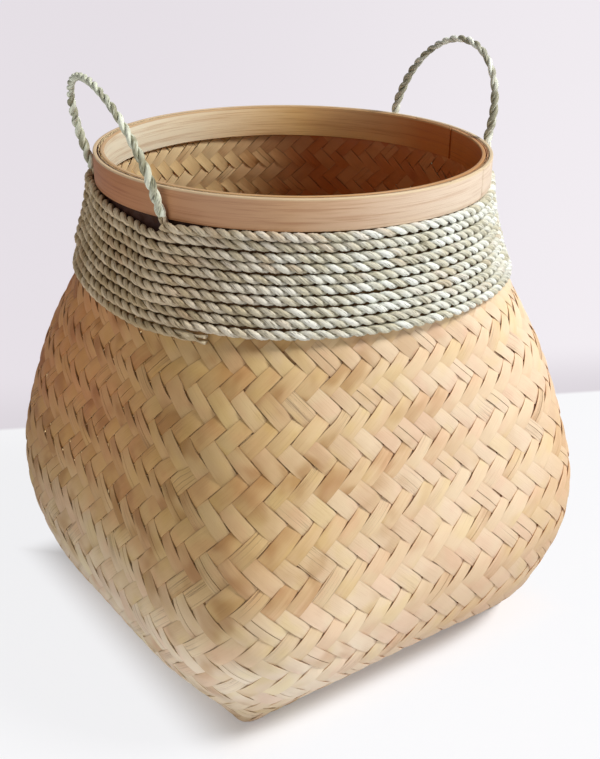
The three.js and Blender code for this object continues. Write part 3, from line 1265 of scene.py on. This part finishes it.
@dataclass
class NeckBinding:
    """One cord wound ten times round the neck, over the tucked ends of the handles.

    Attributes:
        form: The body's surface.
        cord: The cord that it is wound from.
        feet: Bearings of the four tucked ends, in degrees.
        turns: Number of turns.
        pitch: Height from one turn to the next.
        bottom: Height of the lowest level turn's middle.
        lead: How far before the first foot the loose end lies, in degrees.
        ramp: How far past that foot each turn has climbed its pitch, in degrees.
        reach: The cord's radius.
        slack: Gap between the cord and the wall.
        relief: The wall's radius with its plait's relief, as a share of its own.
        bulge: How far a tucked end pushes the cord out.
        tuck_start: Height above which the turns pass over the tucked ends.
    """

    form: BasketForm
    cord: TwistedCord
    feet: tuple[float, ...] = tuple(FEET.values())
    turns: int = 10
    pitch: float = 5.55
    bottom: float = 254.25
    lead: float = 15.0
    ramp: float = 45.0
    reach: float = 2.5
    slack: float = 0.4
    relief: float = 1.004
    bulge: float = 3.7
    tuck_start: float = 261.9

    def centre_line(self, chance: np.random.Generator) -> tuple[np.ndarray, np.ndarray]:
        """The cord's middle, from its loose end at the bottom to its last turn under the hoop.

        Args:
            chance: The seeded source of chance.

        Returns:
            The points, and the outward direction at each.
        """
        passed = np.arange(-self.lead, 360 * self.turns, 0.6)
        angle = self.feet[0] - passed
        turn = np.floor(passed / 360)
        climb = np.where(turn < 0, 0, turn + smooth_step(np.mod(passed, 360) / self.ramp))
        height = self.bottom - self.pitch + self.pitch * climb
        height = height + wander(chance, passed, spacing=11.0, reach=0.32)
        bearing = np.radians(angle)
        below, above = (self.form.wall_radius(bearing, height + way) for way in (-1, 1))
        slope = (below - above) / 2
        radius = self.form.wall_radius(bearing, height) * self.relief + self.slack
        radius = radius + self.reach * np.hypot(1, slope) + self._over_tucks(angle, height, radius)
        radius = radius + wander(chance, passed, spacing=9.0, reach=0.34)
        outward = around(np.ones_like(bearing), bearing, np.zeros_like(bearing))
        return around(radius, bearing, height), outward

    def _over_tucks(
        self, angle: np.ndarray, height: np.ndarray, radius: np.ndarray
    ) -> np.ndarray:
        """How far the four tucked ends push the cord out.

        Args:
            angle: Bearings along the cord, in degrees.
            height: Heights along it.
            radius: Radii along it.

        Returns:
            The push at each point.
        """
        pushed = np.zeros_like(angle)
        for foot in self.feet:
            away = np.abs((angle - foot + 180) % 360 - 180)
            away = np.radians(away) * radius
            # The whole push within 5 mm, and none from 28 mm on
            pushed = np.maximum(pushed, self.bulge * smooth_step(1.22 - away / 23))
        return pushed * smooth_step((height - self.tuck_start + 3) / 3)

    def build(self, finish: bpy.types.Material) -> None:
        """Winds the cord.

        Args:
            finish: Its material.
        """
        chance = np.random.default_rng(7)
        line, outward = self.centre_line(chance)
        # The loose end is flat and has lost most of its twist
        laid = 0.45 + 0.55 * smooth_step((run_along(line) - 6) / 26)
        bench = MeshBench()
        length = self.cord.spin(bench, line, outward, chance, laid, laid)
        log.info("neck binding: %.2f m of cord", length * MM)
        piece = bench.piece("neck_cord", 70.0)
        dress(piece, finish, "basket", "neck_binding")


class Side(Enum):
    """Which handle, and the bearing of its middle in degrees."""

    LEFT = 262.4
    RIGHT = 88.0


@dataclass
class LoopHandle:
    """A loop of cord whose two feet turn on top of the binding.

    Attributes:
        side: Which handle.
        cord: The cord that it is made from.
        rise: Height of the loop above the line through its feet.
        lean: How far it leans outward, in degrees.
        sway: How far its top leans to one side.
        half_spread: Half the angle between its feet, in degrees.
        foot_radius: Distance of a foot from the basket's middle.
        swing_height: Height of the line through the feet.
        leg: Length of the straight legs.
    """

    side: Side
    cord: TwistedCord
    rise: float
    lean: float
    sway: float
    half_spread: float
    foot_radius: float = FOOT_RADIUS
    swing_height: float = SWING_HEIGHT
    leg: float = 18.0

    def centre_line(self) -> tuple[np.ndarray, np.ndarray]:
        """The loop's middle, and a direction across the loop at each point.

        Returns:
            The points and the directions.
        """
        half = self.foot_radius * math.sin(math.radians(self.half_spread))
        turn = np.linspace(0, math.pi, 241)
        up = np.sin(turn).clip(0)
        arch = -np.cos(turn) * half + self.sway * up
        climb = self.leg + (self.rise - self.leg) * up
        leg = np.linspace(0, self.leg, 20, endpoint=False)
        across = np.concatenate([np.full(20, -half), arch, np.full(20, half)])
        climb = np.concatenate([leg, climb, leg[::-1]])
        lean = math.radians(self.lean)
        sideways = heading(self.side.value - 90)
        out = heading(self.side.value)
        reach = self.foot_radius * math.cos(math.radians(self.half_spread))
        up_way = out * math.sin(lean) + UP * math.cos(lean)
        line = out * reach + UP * self.swing_height
        line = line + across[:, None] * sideways + climb[:, None] * up_way
        normal = np.cross(sideways, up_way)
        return soften(line, 12), np.tile(normal, (len(line), 1))

    def build(self, finish: bpy.types.Material) -> None:
        """Makes the loop.

        Args:
            finish: Its material.
        """
        name = f"{self.side.name.lower()}_handle"
        line, outward = self.centre_line()
        bench = MeshBench()
        chance = np.random.default_rng(int(self.side.value))
        share = np.linspace(-1, 1, len(line))
        # Thinner over the arch than at the feet
        girth = 0.9 + 0.24 * smooth_step((np.abs(share) - 0.35) / 0.5)
        length = self.cord.spin(bench, line, outward, chance, girth=girth)
        log.info("%s: %.3f m of cord", name, length * MM)
        piece = bench.piece(f"{name}_cord", 70.0)
        dress(piece, finish, name, name)


@dataclass
class TuckedEnd:
    """An end of a handle's cord, pressed flat between the neck and the binding.

    Attributes:
        node: The CAD node that it stands for.
        form: The body's surface.
        cord: The cord that it is made from.
        bearing: Where it is, in degrees.
        low: Height of its cut end.
        bend: Height above which it bends out to the handle's foot.
        off_wall: Distance of its middle from the wall.
        foot_radius: Distance of the handle's foot from the basket's middle.
        swing_height: Height of the handle's foot.
        short: How far it ends inside and below that foot.
    """

    node: str
    form: BasketForm
    cord: TwistedCord
    bearing: float
    low: float = 264.7
    bend: float = 300.5
    off_wall: float = 2.0
    foot_radius: float = FOOT_RADIUS
    swing_height: float = SWING_HEIGHT
    short: tuple[float, float] = (0.4, 0.8)

    def build(self, finish: bpy.types.Material) -> None:
        """Makes the end.

        Args:
            finish: Its material.
        """
        inside, below = self.short
        height = np.linspace(self.low, self.swing_height - below, 60)
        angle = np.full_like(height, math.radians(self.bearing))
        rise = smooth_step((height - self.bend) / (self.swing_height - self.bend))
        radius = self.form.wall_radius(angle, height) + self.off_wall
        radius = radius * (1 - rise) + (self.foot_radius - inside) * rise
        line = around(radius, angle, height)
        outward = np.tile(heading(self.bearing), (len(height), 1))
        bench = MeshBench()
        chance = np.random.default_rng(int(self.bearing))
        # Pressed flat below the foot, and with a fifth of its twist lost
        press, laid = 0.62 + 0.3 * rise, np.full_like(height, 0.8)
        self.cord.spin(bench, line, outward, chance, press, laid)
        piece = bench.piece(f"{self.node}_cord", 70.0)
        dress(piece, finish, "basket", self.node)


# The studio


@dataclass
class Studio:
    """A plain pale floor that turns into a pale backdrop, soft lamps and the camera.

    Attributes:
        distance: Level distance of the camera from the basket's middle, in metres.
        offset: How far the camera stands to its own right.
        eye: Height of the camera.
        pitch: How far the camera looks down, in degrees.
        roll: How far the camera is turned about its own axis, in degrees.
        lens: Focal length, in millimetres.
        aim: Height at which the lamps look.
        wall_line: How far behind the basket the floor turns into the backdrop.
        wall_slant: How much farther back that line lies for each metre to the right.
        floor_colour: The floor's colour.
        wall_colour: The backdrop's colour at the left.
        wall_right: The backdrop's colour at the right.
        wall_foot: The backdrop's colour where it meets the floor, darker there as painted shade in
            the corner.
    """

    distance: float = 0.6860
    offset: float = 0.00623
    eye: float = 0.48476
    pitch: float = 25.087
    roll: float = -0.802
    lens: float = 52.56
    aim: float = 0.15
    wall_line: float = 0.2774
    wall_slant: float = 0.1753
    floor_colour: Colour = tint(250, 250, 252)
    wall_colour: Colour = tint(232, 226, 232)
    wall_right: Colour = tint(243, 238, 243)
    wall_foot: Colour = tint(222, 216, 222)

    def camera(self) -> None:
        """Places the camera at the photograph's angle."""
        toward, right = heading(VIEW_BEARING), heading(VIEW_BEARING + 90)
        place = toward * self.distance + right * self.offset + UP * self.eye
        pitch = math.radians(self.pitch)
        look = -toward * math.cos(pitch) - UP * math.sin(pitch)
        data = bpy.data.cameras.new("camera")
        data.lens = self.lens
        data.sensor_width = 36.0
        data.clip_start = 0.01
        made = bpy.data.objects.new("camera", data)
        made.location = place
        made.rotation_mode = "QUATERNION"
        turn = Quaternion(Vector(look), math.radians(self.roll))
        made.rotation_quaternion = turn @ Vector(look).to_track_quat("-Z", "Y")
        bpy.context.scene.collection.objects.link(made)
        bpy.context.scene.camera = made

    def lamp(
        self,
        name: str,
        bearing: float,
        elevation: float,
        away: float,
        size: float,
        power: float,
    ) -> None:
        """Adds one soft lamp that looks at the basket.

        Args:
            name: The lamp's name.
            bearing: Where it stands, in degrees.
            elevation: How high it stands, in degrees.
            away: Its distance, in metres.
            size: The side of its square face, in metres.
            power: Its power, in watts.
        """
        data = bpy.data.lights.new(name, "AREA")
        data.shape = "SQUARE"
        data.size = size
        data.energy = power
        made = bpy.data.objects.new(name, data)
        rise = math.radians(elevation)
        back = heading(bearing) * math.cos(rise) + UP * math.sin(rise)
        made.location = back * away + UP * self.aim
        made.rotation_mode = "QUATERNION"
        made.rotation_quaternion = Vector(-back).to_track_quat("-Z", "Y")
        bpy.context.scene.collection.objects.link(made)

    def ground(self) -> None:
        """Lays the floor."""
        work = bmesh.new()
        bmesh.ops.create_grid(work, x_segments=1, y_segments=1, size=9.0)
        mesh = bpy.data.meshes.new("floor")
        work.to_mesh(mesh)
        work.free()
        floor = bpy.data.objects.new("floor", mesh)
        bpy.context.scene.collection.objects.link(floor)
        material, bench = surface("studio_ground")
        side, depth, _ = bench.spot()
        # How far a point lies behind the line where the floor turns into the backdrop
        past = depth - side * self.wall_slant - self.wall_line
        far = bench.within(past, -0.004, 0.004)
        turned = bench.within(side * (depth + self.distance) ** -1.0, -0.2, 0.3)
        wall = bench.blend(turned, self.wall_colour, self.wall_right)
        # Painted shade along the foot of the backdrop, where it meets the floor
        wall = bench.blend(bench.within(past, 0.13, -0.01), wall, self.wall_foot)
        colour = bench.blend(far, self.floor_colour, wall)
        lit = bench.node("ShaderNodeBsdfDiffuse", {}, {"Color": colour})
        seen = bench.node("ShaderNodeLightPath", {}, {}, "Is Camera Ray")
        # To every ray but the camera's the floor glows a little: painted light that brightens the
        # basket from below
        inputs = {"Color": colour, "Strength": 1.15 - seen * 0.15}
        glow = bench.node("ShaderNodeEmission", {}, inputs)
        away = bench.node("ShaderNodeVectorMath", {"operation": "ABSOLUTE"}, {0: bench.place()})
        away = bench.node("ShaderNodeSeparateXYZ", {}, {0: away})
        # The camera sees the ground's own colour, and its real shadow only about the foot
        near = bench.within(away.larger(away.beside(1)), 0.155, 0.112)
        share = 0.12 + seen * (0.77 + far * 0.08 - near * 0.68)
        mixed = bench.node("ShaderNodeMixShader", {}, {0: share, 1: lit, 2: glow})
        bench.node("ShaderNodeOutputMaterial", {}, {"Surface": mixed})
        floor.data.materials.append(material)

    def sky(self) -> None:
        """Fills the room with soft light, and shows the backdrop's colour to the camera."""
        world = bpy.data.worlds.new("studio")
        bpy.context.scene.world = world
        world.use_nodes = True
        bench = ShaderBench(world.node_tree)
        fill, shown = (
            bench.node("ShaderNodeBackground", {}, {"Color": colour, "Strength": strength})
            for colour, strength in ((tint(250, 248, 252), 0.1), (self.wall_colour, 1.0))
        )
        path = bench.node("ShaderNodeLightPath", {}, {}, "Is Camera Ray")
        share = path + path.beside("Is Glossy Ray") * 0.5
        mixed = bench.node("ShaderNodeMixShader", {}, {0: share, 1: fill, 2: shown})
        bench.node("ShaderNodeOutputWorld", {}, {"Surface": mixed})

    def build(self) -> None:
        """Sets up the floor, the light and the camera."""
        bpy.context.scene.view_settings.view_transform = "Standard"
        self.ground()
        self.sky()
        self.lamp("key", bearing=41.0, elevation=48.0, away=2.2, size=0.6, power=47.0)
        self.lamp("fill", bearing=-72.0, elevation=14.0, away=2.4, size=1.4, power=13.0)
        self.lamp("top", bearing=60.0, elevation=78.0, away=2.2, size=1.4, power=2.0)
        self.camera()


def main() -> None:
    """Builds the studio and the basket."""
    logging.basicConfig(level=logging.INFO, format="%(message)s")
    Studio().build()
    form = BasketForm()
    PlaitedBody(form).build(SplitBambooFinish().material())
    # The hoops' colours from left to right are painted light and shade: the outer hoop dark at the
    # left and pale at the right, the inner hoop lit at the left and in deep painted shadow at the
    # right
    outer_bamboo = BentHoopFinish(
        name="outer_hoop_bamboo",
        left=tint(184, 122, 76),
        middle=tint(208, 165, 124),
        right=tint(232, 212, 188),
    ).material()
    inner_bamboo = BentHoopFinish(
        name="inner_hoop_bamboo",
        left=tint(244, 232, 204),
        middle=tint(232, 188, 124),
        right=tint(176, 92, 26),
        worn=tint(196, 152, 100),
    ).material()
    # The outer hoop's lap is 36 mm long at a radius of 123, and ends at 28 degrees
    seam = 28 - math.degrees(36 / 123)
    LappedHoop("outer_hoop", inner=120.7, depth=18.0, seam=seam, tone=0.2).build(outer_bamboo)
    LappedHoop("inner_hoop", inner=116.2, depth=20.5, seam=81.0, tone=0.7).build(inner_bamboo)
    grass = SeagrassFinish().material()
    # The loops' finish has darker painted shadow between the blades and almost no painted shade at
    # the left
    loop_grass = SeagrassFinish(
        name="loop_seagrass",
        shadow=tint(74, 72, 54),
        green=tint(164, 160, 136),
        cream=tint(250, 252, 238),
        rust=tint(136, 132, 106),
        painted_left_shade=tint(250, 252, 244),
        blades=4.0,
        relief=0.0005,
    ).material()
    NeckBinding(form, TwistedCord(radius=2.94)).build(grass)
    fine = TwistedCord(radius=2.6, lay=16.5, sides=12, steps=22)
    for handle in (
        LoopHandle(Side.LEFT, fine, rise=67.5, lean=16.5, sway=1.5, half_spread=28.2),
        LoopHandle(Side.RIGHT, fine, rise=72.5, lean=4.0, sway=14.0, half_spread=22.5),
    ):
        handle.build(loop_grass)
    for node, bearing in FEET.items():
        TuckedEnd(node, form, fine, bearing).build(grass)


if __name__ == "__main__":
    main()
